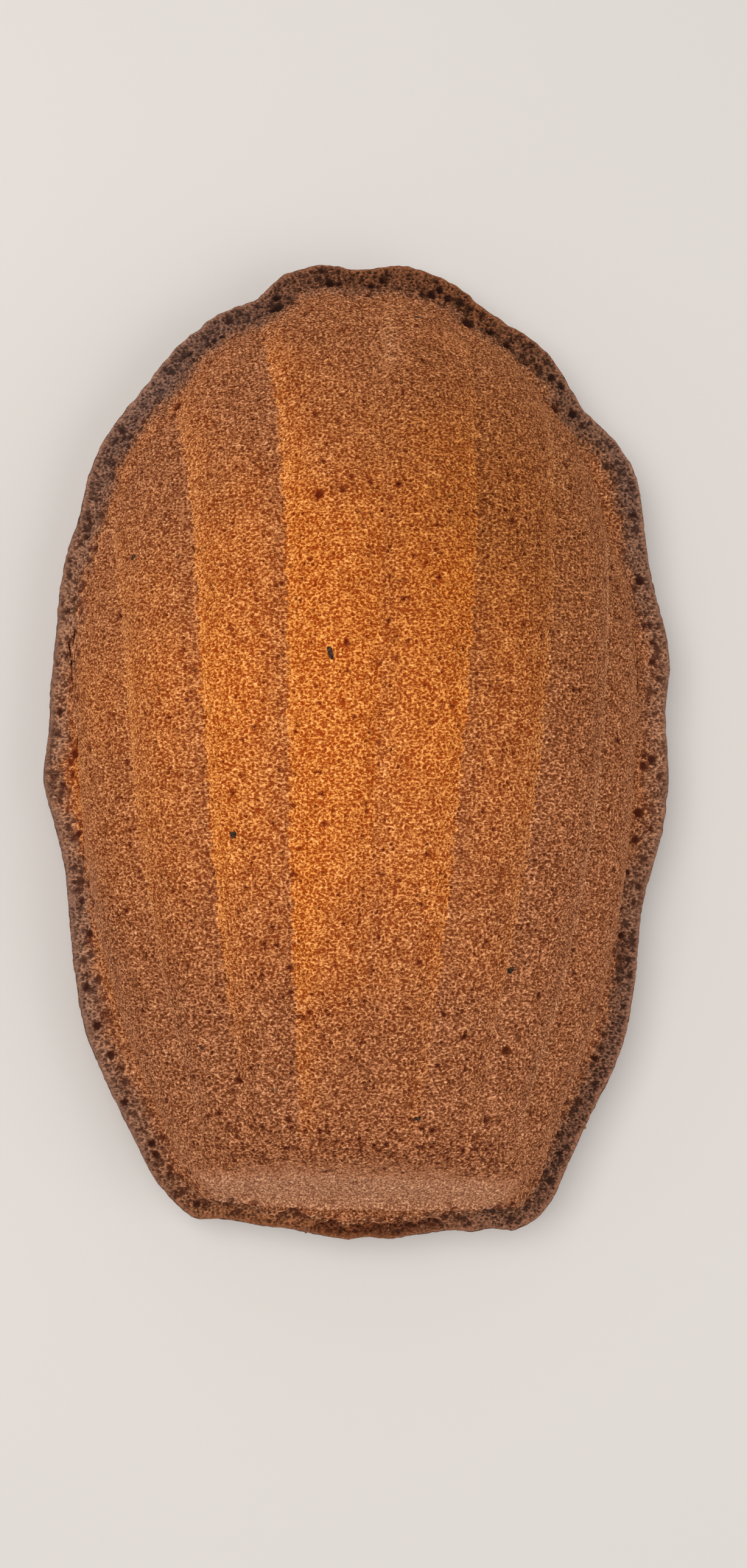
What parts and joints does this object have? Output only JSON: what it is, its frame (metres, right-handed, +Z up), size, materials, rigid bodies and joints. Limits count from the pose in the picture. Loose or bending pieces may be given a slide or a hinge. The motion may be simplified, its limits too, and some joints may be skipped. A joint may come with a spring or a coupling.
{
  "type": "madeleine cake",
  "caption": "Large whole shell-shaped sponge cake, fluted dome with a flat narrow end, a thin uneven browned rim and a low baked hump below.",
  "frame": {"origin": "centre of the cake's outline, on the surface it rests on", "axes": "+Y from the narrow end to the wide end, +Z up through the fluted dome, +X to the right seen from the narrow end"},
  "size_m": [0.1426, 0.2212, 0.0625],
  "materials": {
    "crumb": "open baked crumb, orange-brown on the flutes and dark brown on the rim"
  },
  "bodies": {
    "root": {"madeleine": "crumb"}
  },
  "joints": []
}
